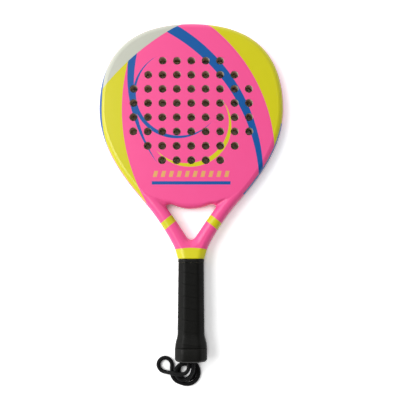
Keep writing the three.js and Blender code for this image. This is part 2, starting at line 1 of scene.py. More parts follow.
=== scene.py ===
"""Looks of a beach tennis racket: its painted frame and faces, grip, butt cap and wrist cord."""
import math

import bpy
import numpy as np
from bpy.props import FloatProperty, FloatVectorProperty, IntProperty, PointerProperty
from bpy.types import Operator, Panel, PropertyGroup
from mathutils import Matrix, Vector


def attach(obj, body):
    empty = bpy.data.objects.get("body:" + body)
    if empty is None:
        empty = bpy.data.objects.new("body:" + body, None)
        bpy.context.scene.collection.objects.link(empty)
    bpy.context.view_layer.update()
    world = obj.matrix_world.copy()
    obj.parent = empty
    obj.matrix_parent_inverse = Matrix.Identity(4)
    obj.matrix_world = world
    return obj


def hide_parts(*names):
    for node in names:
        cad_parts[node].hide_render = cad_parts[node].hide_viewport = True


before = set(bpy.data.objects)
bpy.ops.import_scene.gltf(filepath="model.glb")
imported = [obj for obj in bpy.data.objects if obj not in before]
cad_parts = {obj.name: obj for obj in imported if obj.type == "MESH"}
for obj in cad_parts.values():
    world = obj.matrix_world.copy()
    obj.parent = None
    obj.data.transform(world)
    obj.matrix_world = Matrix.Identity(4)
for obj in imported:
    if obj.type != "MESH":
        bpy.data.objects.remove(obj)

bl_info = {
    "name": "Beach Tennis Racket",
    "version": (1, 0, 0),
    "blender": (4, 5, 0),
    "location": "3D View > Sidebar > Racket",
    "description": "Builds the visible pieces of a beach tennis racket on its packed frame",
    "category": "Object",
}

MM = 0.001
# The racket leans back on its butt cap and the far end of its head.
LEAN = math.radians(1.11409)
# World Y and Z of the middle of the butt end, which is the origin of the racket's own millimetres.
BUTT = (-0.23632745, 0.02000987)

# Heights up the racket from the butt end, in its own millimetres.
NECK_FOOT = 139.0
NECK = 154.0
THROAT = 165.7
THROAT_CENTRE = 174.5
FLARE = 190.0
ARM = 210.0
GRID = 346.0
WIDEST = 351.0
TOP = 473.0
# Half the head's width and thickness, the radius of its edge, and the land left at mid thickness.
HALF_WIDTH = 130.0
HALF_DEPTH = 11.0
FLAT_ROUND = 9.5
FLAT_LAND = 1.5
# Distance in from the outline at which the skins end, and half the core's thickness.
RIM_INSET = 9.3
CORE_HALF = 9.5
# Slopes of the arms and of the neck's sides from straight up.
ARM_SLOPE = math.radians(39)
NECK_SLOPE = math.radians(23)
# Holes in each row, from the top.
HOLE_ROWS = (5, 7, 9, 9, 9, 9, 7, 5)
# Lowest point and radius of the arcs below the bridge and below the flat face.
BRIDGE_LOW = (206.5, 100.0)
HEEL = (216.3, 169.1)
# Foot and tip of the valley between face and arm, across and up, and its radius at the foot.
VALLEY_FOOT = (32.0, 210.0)
VALLEY_TIP = (48.0, 222.5)
VALLEY_RADIUS = 5.0
# The neck block's half widths and half depths, and the heights at which they hold.
BLOCK_LEVELS = (NECK_FOOT, NECK, THROAT, FLARE)
BLOCK_WIDTHS = (18.4, 22.6, 23.4, 30.0)
BLOCK_DEPTHS = (15.5, 11.5, 8.0, 8.0)
# Half the handle's width, and how much less half its depth is, there and in the cap and collar.
HANDLE_HALF = 15.65
HANDLE_THINNER = 2.35
# Slanted flats of a handle section: where the shares of its half width and half depth add up to this.
SLANTED_FLAT = 1.56
# Distance of each end of the cord from the middle of its slot.
CORD_SPACING = 3.0


# ---------- sizes and colours

def srgb(red, green, blue):
    """Linear colour of an 8-bit sRGB one."""
    def linear(value):
        share = value / 255
        return share / 12.92 if share <= 0.04045 else ((share + 0.055) / 1.055) ** 2.4
    return tuple(linear(value) for value in (red, green, blue))


def length_property(name, description, default):
    return FloatProperty(name=name, description=description, default=default, min=0.0,
                         precision=4, subtype="DISTANCE", unit="LENGTH")


def colour_property(name, description, default):
    return FloatVectorProperty(name=name, description=description, default=default, size=3,
                               min=0.0, max=1.0, subtype="COLOR")


class RacketSizes(PropertyGroup):
    """Sizes of the visible pieces."""
    tube_width: length_property("Tube width", "Width of the frame tube across its section", 0.020)
    corner_blend: length_property("Throat corner blend", "Reach of the soft web in the throat", 0.003)
    cell: length_property("Frame cell", "Cells that the frame's surface is worked out on", 0.00105)
    hole_diameter: length_property("Hole diameter", "Diameter of the drilled holes", 0.0112)
    hole_pitch: length_property("Hole pitch", "Distance between hole centres", 0.0202)
    skin: length_property("Skin thickness", "Thickness of each face", 0.0012)
    tape_pitch: length_property("Tape pitch", "Rise of the grip tape for each turn", 0.016)
    seam_depth: length_property("Seam depth", "Depth of the groove between turns of the tape", 0.00035)
    band: length_property("Arm band", "Width of the yellow band on each arm", 0.0105)
    cord_diameter: length_property("Cord diameter", "Diameter of the wrist cord", 0.0054)
    braid_strands: IntProperty(name="Braid strands", default=6, min=2, max=16,
                               description="Strands of the cord's braid each way round")


class RacketColours(PropertyGroup):
    """Colours of the finishes."""
    pink: colour_property("Pink", "Ground colour of the frame and the front face", srgb(250, 84, 150))
    yellow: colour_property("Yellow", "Bands and sweeps", srgb(212, 205, 16))
    blue: colour_property("Blue", "Sweeps and bar", srgb(0, 86, 160))
    pale: colour_property("Pale grey", "Pale sweep", srgb(196, 198, 184))
    grip: colour_property("Grip black", "Tape on the handle", srgb(13, 13, 11))
    rubber: colour_property("Rubber black", "Butt cap and collar", srgb(16, 16, 14))
    cord: colour_property("Cord black", "Wrist cord", srgb(8, 8, 10))
    foam: colour_property("Core foam", "Foam that shows inside the holes", srgb(222, 207, 186))
    floor: colour_property("Floor", "Plain pale floor", srgb(250, 250, 250))


# ---------- shader expressions

class Value:
    """A shader socket that expressions can use: each operator adds one Math node."""

    def __init__(self, graph, socket):
        self.graph = graph
        self.socket = socket

    def math(self, operation, *others, clamp=False):
        settings = {"operation": operation, "use_clamp": clamp}
        return self.graph.node("ShaderNodeMath", settings, dict(enumerate((self, *others))))

    def __add__(self, other):
        return self.math("ADD", other)

    def __mul__(self, other):
        return self.math("MULTIPLY", other)

    __radd__, __rmul__ = __add__, __mul__

    def __sub__(self, other):
        return self.math("SUBTRACT", other)

    def __rsub__(self, other):
        return (self * -1) + other

    def __truediv__(self, other):
        return self.math("DIVIDE", other)

    def __abs__(self):
        return self.math("ABSOLUTE")

    def root(self):
        return self.math("SQRT")

    def least(self, other):
        return self.math("MINIMUM", other)

    def most(self, other):
        return self.math("MAXIMUM", other)

    def sine(self):
        return self.math("SINE")

    def inside(self, softness=0.25):
        """1 where a signed distance is below zero and 0 where it is above, over a soft edge."""
        return self.math("MULTIPLY_ADD", -1 / softness, 0.5, clamp=True)


class Graph:
    """Builds one node tree from expressions."""

    def __init__(self, owner):
        owner.use_nodes = True
        self.tree = owner.node_tree
        self.tree.nodes.clear()

    def node(self, kind, settings=None, inputs=None, output=0):
        """Adds a node: its settings first, then the values or links of its sockets."""
        node = self.tree.nodes.new(kind)
        for key, value in (settings or {}).items():
            setattr(node, key, value)
        for key, value in (inputs or {}).items():
            socket = node.inputs[key]
            if isinstance(value, Value):
                self.tree.links.new(value.socket, socket)
            elif socket.type == "RGBA":
                socket.default_value = (*value, 1.0)
            else:
                socket.default_value = value
        return Value(self, node.outputs[output]) if node.outputs else None

    def mix(self, factor, first, second, blend="MIX"):
        """One colour over another by a factor."""
        return self.node("ShaderNodeMix", {"data_type": "RGBA", "blend_type": blend},
                         {0: factor, 6: first, 7: second}, output=2)

    def object_place(self):
        """Object coordinates in millimetres, as a vector."""
        place = self.node("ShaderNodeTexCoord", output="Object")
        return self.node("ShaderNodeMapping", inputs={"Vector": place, "Scale": (1 / MM,) * 3})

    def racket_place(self):
        """The racket's own X, Y and Z in millimetres, with its lean undone."""
        place = self.node("ShaderNodeTexCoord", output="Object")
        back = Matrix.Rotation(LEAN, 3, "X") @ Vector((0, *BUTT)) / -MM
        vector = self.node("ShaderNodeMapping", inputs={
            "Vector": place, "Scale": (1 / MM,) * 3, "Rotation": (LEAN, 0, 0), "Location": back})
        return vector, *self.split(vector)

    def split(self, vector):
        separate = self.node("ShaderNodeSeparateXYZ", inputs={"Vector": vector}).socket.node
        return [Value(self, socket) for socket in separate.outputs]

    def noise(self, vector, scale, detail=2.0):
        return self.node("ShaderNodeTexNoise", inputs={"Vector": vector, "Scale": scale, "Detail": detail})

    def cells(self, vector, scale):
        return self.node("ShaderNodeTexVoronoi", inputs={"Vector": vector, "Scale": scale})

    def bump(self, height, distance, strength):
        return self.node("ShaderNodeBump", inputs={
            "Height": height, "Distance": distance, "Strength": strength})

    def finish(self, colour, roughness, normal, **constants):
        """The surface shader: varying colour, roughness and normal, and constants set on its sockets."""
        inputs = {"Base Color": colour, "Roughness": roughness, "Normal": normal}
        inputs.update({key.replace("_", " ").title().replace("Ior", "IOR"): value
                       for key, value in constants.items()})
        surface = self.node("ShaderNodeBsdfPrincipled", inputs=inputs)
        self.node("ShaderNodeOutputMaterial", inputs={"Surface": surface})


def new_material(name):
    material = bpy.data.materials.new(name)
    return material, Graph(material)


# ---------- meshes

def to_world(points):
    """The racket's own millimetres to the frame's metres: turned by the lean about X, then moved."""
    x, y, z = np.moveaxis(np.asarray(points, float) * MM, -1, 0)
    return np.stack([x, math.cos(LEAN) * y + math.sin(LEAN) * z + BUTT[0],
                     math.cos(LEAN) * z - math.sin(LEAN) * y + BUTT[1]], axis=-1)


def grid_faces(rows, columns, closed_rows):
    """Quads of a grid whose columns run round, and whose rows run round as well if closed_rows."""
    starts = np.arange(rows if closed_rows else rows - 1)
    row, column = np.meshgrid(starts, np.arange(columns), indexing="ij")
    after, beside = (row + 1) % rows, (column + 1) % columns
    corners = ((row, column), (row, beside), (after, beside), (after, column))
    return np.stack([(r * columns + c).ravel() for r, c in corners], axis=1)


def add_mesh(name, points, faces, material, uv=None):
    """A smooth mesh object, turned right side out by its signed volume."""
    triangles = np.asarray([face[:3] for face in faces]) if isinstance(faces, list) else faces[:, :3]
    a, b, c = (points[triangles[:, corner]] for corner in range(3))
    volume = np.einsum("ij,ij->i", a, np.cross(b, c)).sum()
    if not isinstance(faces, list) and faces.shape[1] == 4:
        d = points[faces[:, 3]]
        volume += np.einsum("ij,ij->i", a, np.cross(c, d)).sum()
    if volume < 0:
        faces = [face[::-1] for face in faces] if isinstance(faces, list) else faces[:, ::-1]
    mesh = bpy.data.meshes.new(name)
    mesh.from_pydata(points, [], faces)
    mesh.polygons.foreach_set("use_smooth", np.ones(len(mesh.polygons), bool))
    if uv is not None:
        corners = np.empty(len(mesh.loops), int)
        mesh.loops.foreach_get("vertex_index", corners)
        mesh.uv_layers.new(name="UVMap").data.foreach_set("uv", uv[corners].ravel())
    return place_mesh(name, mesh, material)


def place_mesh(name, mesh, material):
    """An object of a finished mesh and its material, put in the scene."""
    mesh.materials.append(material)
    mesh.update()
    piece = bpy.data.objects.new(name, mesh)
    bpy.context.collection.objects.link(piece)
    return piece


def circle_steps(columns):
    """Cosines and sines of equal steps once round."""
    turn = np.linspace(0, 2 * np.pi, columns, endpoint=False)
    return np.cos(turn), np.sin(turn)


def settle(piece, slot, *nodes):
    """The piece rides on the racket's one body and stands for its CAD nodes, which it hides; the slot is not
    used.
    """
    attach(piece, "root")
    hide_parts(*nodes)


# ---------- the racket's outline

def bezier(points, steps):
    """A cubic curve's points and unit directions, by Bernstein's formula."""
    t = np.linspace(0, 1, steps, endpoint=False)[:, None]
    p0, p1, p2, p3 = (np.array(point, float) for point in points)
    place = (1 - t) ** 3 * p0 + 3 * t * (1 - t) ** 2 * p1 + 3 * t * t * (1 - t) * p2 + t ** 3 * p3
    way = (1 - t) ** 2 * (p1 - p0) + 2 * t * (1 - t) * (p2 - p1) + t * t * (p3 - p2)
    return place, way / np.linalg.norm(way, axis=1, keepdims=True)


def right_outline():
    """Right half of the outline from the top of the head to below the neck, and its inward directions."""
    arm_way = np.array([math.sin(ARM_SLOPE), math.cos(ARM_SLOPE)])
    neck_way = np.array([math.sin(NECK_SLOPE), math.cos(NECK_SLOPE)])
    side, arm, neck = np.array([HALF_WIDTH, WIDEST]), np.array([59, ARM]), np.array([23, NECK])
    above, below, stem = TOP - WIDEST, WIDEST - ARM, 12.2
    # Four control points and the number of steps of each curve, from the top down.
    curves = [
        ([(0, TOP), (0.787 * HALF_WIDTH, TOP), (HALF_WIDTH, WIDEST + 0.52 * above), side], 60),
        ([side, (HALF_WIDTH, WIDEST - 0.476 * below), arm + 0.195 * below * arm_way, arm], 60),
        ([arm, arm - 21.6 * arm_way, neck + 14 * neck_way, neck], 24),
        ([neck, neck - 4 * neck_way, (stem, NECK_FOOT + 4), (stem, NECK_FOOT)], 12),
        ([(stem, NECK_FOOT), (stem, 130), (stem, 120), (stem, 110)], 2),
    ]
    runs = [bezier(points, steps) for points, steps in curves]
    place = np.concatenate([run[0] for run in runs])
    way = np.concatenate([run[1] for run in runs])
    return place, np.stack([way[:, 1], -way[:, 0]], axis=1)


OUTLINE, INWARD = right_outline()


def inside_distance(x, y):
    """Signed distance in from the outline: the least distance to its segments, negative outside."""
    points = np.stack([np.abs(x), y], axis=-1)
    start, along = OUTLINE[:-1], np.diff(OUTLINE, axis=0)
    best = np.full(points.shape[:-1], np.inf)
    for a, step in zip(start, along):
        reach = points - a
        share = np.clip(reach @ step / (step @ step), 0, 1)
        best = np.minimum(best, ((reach - share[..., None] * step) ** 2).sum(-1))
    width = np.interp(y, OUTLINE[::-1, 1], OUTLINE[::-1, 0], right=-1)
    return np.sqrt(best) * np.where(np.abs(x) < width, 1, -1)


def arc_height(low, radius, x):
    """Height of an arc centred on the racket's axis, with its lowest point at low."""
    return low + radius - np.sqrt(np.maximum(radius ** 2 - np.square(x), 0))


def heel_height(inset, x):
    """Lower edge of the flat face, moved up by an inset."""
    return arc_height(HEEL[0] + inset, HEEL[1] - inset, x)


def face_outline(rim_inset, heel_inset):
    """Closed outline inside the rim: in from the outline by one inset, up from the heel by another."""
    rim = OUTLINE + INWARD * rim_inset
    rim[0, 0] = 0
    above = rim[:, 1] > heel_height(heel_inset, np.minimum(rim[:, 0], HEEL[1] - heel_inset - 1))
    last = int(np.argmin(above))
    right = rim[:last]
    across = np.linspace(right[-1, 0], -right[-1, 0], 80)
    heel = np.stack([across, heel_height(heel_inset, across)], axis=1)
    left = right[:0:-1] * (-1, 1)
    return np.concatenate([right, heel[1:-1], left])


# ---------- the frame as one surface

def soft_least(a, b, reach):
    """Smooth minimum: the lesser of two distances, less a rounded corner where they are close."""
    close = np.maximum(reach - np.abs(a - b), 0) / reach
    return np.minimum(a, b) - close * close * reach / 4


def soft_most(a, b, reach):
    return -soft_least(-a, -b, reach)


def smooth_step(share):
    """An S-shaped rise from 0 to 1."""
    return share * share * (3 - 2 * share)


def tube_distance(s, y, z, half_width):
    """Distance to the tube's rounded section, across the outline and through the thickness."""
    up_neck = np.clip((y - NECK_FOOT) / (THROAT - NECK_FOOT), 0, 1)
    half_depth = HALF_DEPTH - 2 + 2 * smooth_step(up_neck)
    radius = np.minimum(FLAT_ROUND, half_depth)
    across = np.abs(s - half_width) - (half_width - radius)
    through = np.abs(z) - (half_depth - radius)
    outside = np.hypot(np.maximum(across, 0), np.maximum(through, 0))
    return outside + np.minimum(np.maximum(across, through), 0) - radius


def bridge_distance(s, x, y, z):
    """Distance to the bridge: flat above the heel arc, and a quarter ellipse down to its lower edge."""
    # The bridge ends well inside 90 mm, and the arcs' roots stay real there.
    safe = np.clip(x, -90, 90)
    flat, low = heel_height(0, safe), arc_height(*BRIDGE_LOW, safe)
    width = np.maximum(flat - low, 2.0)
    down = np.maximum(flat - y, 0)
    through = np.maximum(np.abs(z) - FLAT_LAND, 1e-4)
    scaled = np.hypot(down / width, through / FLAT_ROUND)
    slope = np.hypot(down / width ** 2, through / FLAT_ROUND ** 2)
    rounded = scaled * (scaled - 1) / slope
    upper_edge, overlap_start = heel_height(10.2, safe), 14
    return np.maximum(np.maximum(rounded, y - upper_edge), overlap_start - s)


def opening_distance(x, y):
    """Distance outside the throat opening: a round bottom whose sides run out as tangents."""
    across, up = np.abs(x), y - THROAT_CENTRE
    slope, radius = math.radians(37.5), 8.8
    nx, ny = math.cos(slope), -math.sin(slope)
    beyond = up * nx - across * ny > 0
    return np.where(beyond, across * nx + up * ny, np.hypot(across, up)) - radius


def corner_distance(x, y):
    """Distance outside the opening's upper part: below an arc, between the arms and under a top line."""
    across, radius, arm_half, most_half, low, high = np.abs(x), 46, 30.6, 31.4, 203, 215
    arc = radius - np.hypot(x, y - BRIDGE_LOW[0] - radius)
    arm = (across - arm_half - (y - ARM) * math.tan(ARM_SLOPE)) * math.cos(ARM_SLOPE)
    side = soft_most(across - most_half, arm, 4)
    return np.maximum(soft_most(soft_most(arc, side, 5), y - high, 4), low - y)


def valley_distance(x, y, z):
    """Distance outside the valley between face and arm: a cone lying in the surface, its tip upwards."""
    across, up = np.abs(x) - VALLEY_FOOT[0], y - VALLEY_FOOT[1]
    run, rise = VALLEY_TIP[0] - VALLEY_FOOT[0], VALLEY_TIP[1] - VALLEY_FOOT[1]
    share = np.clip((across * run + up * rise) / (run * run + rise * rise), 0, 1)
    off = np.hypot(across - share * run, up - share * rise)
    return np.hypot(off, HALF_DEPTH - np.abs(z)) - VALLEY_RADIUS * (1 - share)


def eight_flats(u, v, sharpness):
    """A high power mean of a handle section's eight flats, from the shares of its half width and depth."""
    slanted = (u + v) / SLANTED_FLAT
    return (u ** sharpness + v ** sharpness + slanted ** sharpness) ** (1 / sharpness)


def octagon_distance(x, z, half_width, half_depth):
    """Distance to a handle section: the mean of its eight flats less one, times its lesser half size."""
    mean = eight_flats(np.abs(x) / half_width, np.abs(z) / half_depth, 22)
    return (mean - 1) * np.minimum(half_width, half_depth)


def frame_distance(x, y, z, half_width, blend):
    """Signed distance to the whole frame: tubes, bridge and neck block joined with soft corners."""
    x, y = np.broadcast_arrays(x, y)
    s = inside_distance(x, y)
    deep = (np.minimum(np.abs(z), HALF_DEPTH) / HALF_DEPTH) ** 2
    tube, bridge = tube_distance(s, y, z, half_width), bridge_distance(s, x, y, z)
    head = soft_least(tube, bridge, blend * (1 - deep) + 1.2)
    head = soft_most(head, -corner_distance(x, y), 6)
    head = soft_most(head, -valley_distance(x, y, z), 1.6)
    widths, depths = np.interp(y, BLOCK_LEVELS, BLOCK_WIDTHS), np.interp(y, BLOCK_LEVELS, BLOCK_DEPTHS)
    block = octagon_distance(x, z, widths, depths)
    block = soft_most(block, -opening_distance(x, y), 9)
    # Above the neck, the block stays 1.5 mm inside the outline.
    block = np.maximum(np.maximum(block, y - FLARE), 1.5 - np.where(y > NECK, s, 5))
    whole = soft_least(head, block, 1 + 4 * np.clip((s - 2) / 6, 0, 1))
    whole = np.maximum(whole, np.abs(z) - np.interp(y, BLOCK_LEVELS[:3], [*BLOCK_DEPTHS[:2], HALF_DEPTH]))
    bed_heel = heel_height(0.8, np.clip(x, -120, 120))
    pocket = np.maximum(np.maximum(RIM_INSET + 1 - s, bed_heel - y), CORE_HALF - np.abs(z))
    whole = np.maximum(whole, -pocket)
    return soft_most(whole, NECK_FOOT - y, 0.8)


def surface_net(field, origin, cell):
    """Naive surface nets: a vertex at the mean of a cell's edge crossings, a quad round each crossing."""
    shape = np.array(field.shape) - 1
    total, count = np.zeros((*shape, 3)), np.zeros(shape)
    inside = field < 0
    crossings = []
    for axis in range(3):
        low = tuple(slice(None, -1) if a == axis else slice(None) for a in range(3))
        high = tuple(slice(1, None) if a == axis else slice(None) for a in range(3))
        cross = inside[low] != inside[high]
        with np.errstate(divide="ignore", invalid="ignore"):
            share = np.where(cross, field[low] / (field[low] - field[high]), 0)
        place = np.moveaxis(np.indices(cross.shape), 0, -1).astype(float)
        place[..., axis] += share
        place *= cross[..., None]
        others = [a for a in range(3) if a != axis]
        for shift in ((0, 0), (0, 1), (1, 0), (1, 1)):
            part = [slice(None)] * 3
            for a, step in zip(others, shift):
                part[a] = slice(step, step + shape[a])
            total += place[tuple(part)]
            count += cross[tuple(part)]
        crossings.append((axis, others, cross, inside[low]))
    used = count > 0
    number = np.full(shape, -1)
    number[used] = np.arange(used.sum())
    points = total[used] / count[used][:, None] * cell + origin
    quads = []
    for axis, others, cross, first_inside in crossings:
        at = np.argwhere(cross)
        keep = np.all((at[:, others] > 0) & (at[:, others] < shape[others]), axis=1)
        at = at[keep]
        corners = []
        for shift in ((1, 1), (0, 1), (0, 0), (1, 0)):
            cells = at.copy()
            cells[:, others] -= shift
            corners.append(number[tuple(cells.T)])
        quad = np.stack(corners, axis=1)
        flip = first_inside[tuple(at.T)] ^ (axis == 1)
        quad[~flip] = quad[~flip][:, ::-1]
        quads.append(quad)
    return points, np.concatenate(quads)


def frame_surface(half_width, blend, cell):
    """The frame's surface net, with its vertices then moved along the gradient onto the surface."""
    margin, thick = 2, 17.0
    wide = HALF_WIDTH + margin
    x = np.arange(-wide, wide + cell, cell)
    y = np.arange(NECK_FOOT - margin, TOP + margin, cell)
    z = np.arange(-thick, thick + cell, cell)
    x -= x.mean()
    z -= z.mean()
    field = frame_distance(x[:, None, None], y[None, :, None], z[None, None, :], half_width, blend)
    points, quads = surface_net(field, np.array([x[0], y[0], z[0]]), cell)
    nudge, least_size, most_move = 0.02, 0.2, 0.4 * cell
    for _ in range(2):
        here = frame_distance(*points.T, half_width, blend)
        slope = np.stack([frame_distance(*(points + step).T, half_width, blend) - here
                          for step in np.eye(3) * nudge], axis=1) / nudge
        size = np.maximum((slope ** 2).sum(1), least_size)
        move = -(here / size)[:, None] * slope
        points = points + np.clip(move, -most_move, most_move)
    return points, quads


# ---------- flat drilled plates

def hole_centres(pitch):
    """Centres of the drilled holes, row by row from the top."""
    rows = [np.stack([(np.arange(count) - (count - 1) / 2) * pitch,
                      np.full(count, GRID + ((len(HOLE_ROWS) - 1) / 2 - row) * pitch)], axis=1)
            for row, count in enumerate(HOLE_ROWS)]
    return np.concatenate(rows)


def drilled_plate(name, outline, low, high, sizes, material):
    """A plate with its holes: a filled flat curve, made a mesh and put between two depths."""
    curve = bpy.data.curves.new(name, "CURVE")
    curve.dimensions, curve.fill_mode = "2D", "BOTH"
    edge = 0.12
    curve.extrude, curve.bevel_depth, curve.bevel_resolution = (high - low) / 2 - edge, edge, 1
    curve.offset = -edge
    ring = np.stack(circle_steps(32), axis=1) * sizes.hole_diameter / MM / 2
    loops = [outline] + [centre + ring for centre in hole_centres(sizes.hole_pitch / MM)]
    for loop in loops:
        spline = curve.splines.new("POLY")
        spline.points.add(len(loop) - 1)
        flat = np.zeros(len(loop))
        spline.points.foreach_set("co", np.column_stack([loop, flat, flat + 1]).ravel())
        spline.use_cyclic_u = True
    source = bpy.data.objects.new(name, curve)
    bpy.context.collection.objects.link(source)
    mesh = bpy.data.meshes.new_from_object(source.evaluated_get(bpy.context.evaluated_depsgraph_get()))
    bpy.data.objects.remove(source)
    bpy.data.curves.remove(curve)
    points = np.empty(len(mesh.vertices) * 3)
    mesh.vertices.foreach_get("co", points)
    points = to_world(points.reshape(-1, 3) + (0, 0, (low + high) / 2))
    mesh.vertices.foreach_set("co", points.ravel())
    mesh.materials.clear()
    mesh.name = name
    return place_mesh(name, mesh, material)


# ---------- handle pieces

def handle_rings(half_widths, columns=96):
    """Handle sections by angle, a row each: the reach at which the mean of the eight flats is one."""
    cosine, sine = circle_steps(columns)
    u, v = np.abs(cosine) / half_widths, np.abs(sine) / (half_widths - HANDLE_THINNER)
    reach = 1 / eight_flats(u, v, 26)
    return np.stack([reach * cosine, reach * sine], axis=-1)


def slot_ring(half_length, radius, columns=96):
    """The cord slot by angle: two straight sides and two round ends."""
    cosine, sine = circle_steps(columns)
    across, up = np.abs(cosine), np.abs(sine)
    side = radius / np.maximum(up, 1e-6)
    end = half_length * across + np.sqrt(np.maximum(radius ** 2 - (half_length * up) ** 2, 0))
    reach = np.where(side * across < half_length, side, end)
    return np.stack([reach * cosine, reach * sine], axis=-1)


def stacked(rings, heights):
    """Rings of X and Z put at heights, as one array of points for each ring."""
    heights = np.broadcast_to(np.asarray(heights, float)[:, None], rings.shape[:2])
    return np.stack([rings[..., 0], heights, rings[..., 1]], axis=-1)


def ring_piece(name, rings, heights, material):
    """A closed ring-shaped solid from sections that run up the outside and down the inside."""
    points = to_world(stacked(rings, heights).reshape(-1, 3))
    return add_mesh(name, points, grid_faces(*rings.shape[:2], True), material)


def grip_sections(pitch, seam_depth):
    """The wound tape: an eight-sided wall that spreads over the cap's skirt, with a groove at each turn
    and the edge of the turn above it standing slightly proud."""
    foot, skirt_top, top, columns, edge_radius = 19.0, 42, 133.7, 120, 0.5
    edge = np.array([0, 0.08, 0.25, 0.5])
    heights = np.concatenate([foot + edge, np.linspace(foot + 1, top - 1, 270), top - edge[::-1]])
    turns_up = (heights[:, None] - foot) / pitch - np.linspace(0, 1, columns, endpoint=False)
    above = (turns_up - np.floor(turns_up)) * pitch
    near = np.minimum(above, pitch - above)
    thickness, proud, proud_width, groove_width = 2.1, 0.16, 7, 0.42
    out = thickness - proud * np.clip(above / proud_width, 0, 1)
    out -= seam_depth * np.exp(-(near / groove_width) ** 2)
    end = np.clip(edge_radius - np.minimum(heights - foot, top - heights), 0, edge_radius)
    ease = edge_radius - np.sqrt(np.maximum(edge_radius ** 2 - end ** 2, 0))
    # The handle widens down its length, and more over the cap's skirt.
    taper = np.clip((125 - heights) / 87, 0, 1)
    flare = np.clip((38 - heights) / 18, 0, 1)
    half = HANDLE_HALF + 0.75 * taper + 3.2 * smooth_step(flare) - ease
    inner_heights = np.array([top, skirt_top, foot])
    inner_half = HANDLE_HALF + 0.3 + 0.1695 * (skirt_top - inner_heights).clip(0)
    rings = [handle_rings(half[:, None] + out, columns), handle_rings(inner_half[:, None], columns)]
    return np.concatenate(rings), np.concatenate([heights, inner_heights])


def collar_sections():
    """The rubber ring: rounded outside, straight bore."""
    foot, top, outer, bore, radius = 134, 138.7, 17.95, 15.95, 0.8
    angle = np.linspace(0, np.pi / 2, 5)
    half, lift = outer - radius * (1 - np.sin(angle)), radius * (1 - np.cos(angle))
    halves = np.concatenate([half, half[::-1], [bore, bore]])
    heights = np.concatenate([foot + lift, (top - lift)[::-1], [top, foot]])
    return handle_rings(halves[:, None]), heights


def cap_sections():
    """The butt cap: slot, end face, rounded edge, side, shoulder, skirt, cavity and back to the slot."""
    outer, bore, radius = 22, 15.95, 5
    angle = np.linspace(0, np.pi / 2, 9)
    halves = np.concatenate([outer - radius * (1 - np.sin(angle)),
                             [outer, outer, 21.9, 21.5, 19.6, 17.18, bore, bore, bore]])
    heights = np.concatenate([radius * (1 - np.cos(angle)), [11, 18.2, 18.5, 18.7, 18.7, 33, 33, 18, 3]])
    body = handle_rings(halves[:, None])
    slot = [slot_ring(CORD_SPACING, slot_radius) for slot_radius in (3.2, 3.2, 3.5)]
    middle = (slot[2] + body[0]) / 2
    return np.concatenate([[*slot, middle], body]), np.concatenate([[3, 0.3, 0, 0], heights])


# ---------- the wrist cord

# The loose cord's route: across, distance out past the butt end, and height, in millimetres.
CORD_ROUTE = (
    (-3.3, 9.8, 19.6), (-4.9, 13.8, 19.1), (-8.2, 16.9, 18.3), (-12.7, 18.5, 17.3), (-17.7, 18.8, 16.3),
    (-22.7, 18.3, 15.1), (-27.4, 17.8, 12.4), (-31.6, 17.8, 8.7), (-36.1, 17.6, 5.4),
    (-40.8, 16.4, 3.7), (-44.3, 13.1, 2.8), (-45.8, 8.4, 2.8), (-44.7, 3.8, 2.8), (-41.5, 0.3, 2.8),
    (-36.9, -1.1, 2.8), (-32.3, 0.0, 2.8), (-28.7, 3.2, 2.8), (-27.1, 7.3, 2.8), (-26.9, 13.0, 2.8),
    (-27.1, 19.0, 2.8), (-25.4, 25.2, 2.8), (-21.2, 30.2, 2.8), (-14.1, 33.3, 2.8), (-7.5, 35.0, 2.8),
    (-0.2, 34.1, 2.8), (5.7, 30.3, 2.8), (9.5, 24.4, 2.8), (10.4, 17.4, 2.8), (8.3, 10.7, 2.8),
    (3.5, 5.4, 2.8), (-3.0, 2.9, 2.8), (-9.8, 4.0, 2.8), (-14.8, 8.1, 2.8), (-17.2, 13.5, 2.8),
    (-17.1, 18.8, 2.8), (-15.2, 23.6, 2.8), (-11.6, 27.3, 2.8), (-6.5, 29.1, 2.8), (-1.3, 28.1, 2.8),
    (2.7, 24.6, 2.8), (4.5, 19.5, 2.8), (3.5, 14.3, 3.1), (0.0, 10.2, 4.9), (-4.7, 7.4, 7.2),
    (-9.5, 6.2, 8.7), (-15.7, 7.4, 9.0), (-19.3, 11.0, 9.0), (-21.0, 15.6, 9.0), (-20.6, 20.4, 9.0),
    (-18.1, 24.6, 9.0), (-14.0, 27.3, 9.0), (-9.2, 27.7, 9.4), (-4.8, 25.8, 10.5), (-1.2, 22.4, 12.1),
    (0.9, 18.5, 14.5), (2.2, 14.3, 17.0), (2.9, 9.8, 18.9),
)


def smooth_path(points, steps):
    """A centripetal Catmull-Rom curve: each span is a cubic whose end slopes weigh the neighbouring
    spans by the square roots of their lengths."""
    p = np.vstack([2 * points[0] - points[1], points, 2 * points[-1] - points[-2]])
    d = np.sqrt(np.linalg.norm(np.diff(p, axis=0), axis=1))[:, None]
    p0, p1, p2, p3 = p[:-3], p[1:-2], p[2:-1], p[3:]
    d0, d1, d2 = d[:-2], d[1:-1], d[2:]
    first = ((p1 - p0) / d0 - (p2 - p0) / (d0 + d1) + (p2 - p1) / d1) * d1
    second = ((p2 - p1) / d1 - (p3 - p1) / (d1 + d2) + (p3 - p2) / d2) * d1
    t = np.linspace(0, 1, steps, endpoint=False)[None, :, None]
    a = (2 * p1 - 2 * p2 + first + second)[:, None]
    b = (3 * p2 - 3 * p1 - 2 * first - second)[:, None]
    curve = ((a * t + b) * t + first[:, None]) * t + p1[:, None]
    return np.vstack([curve.reshape(-1, 3), points[-1]])


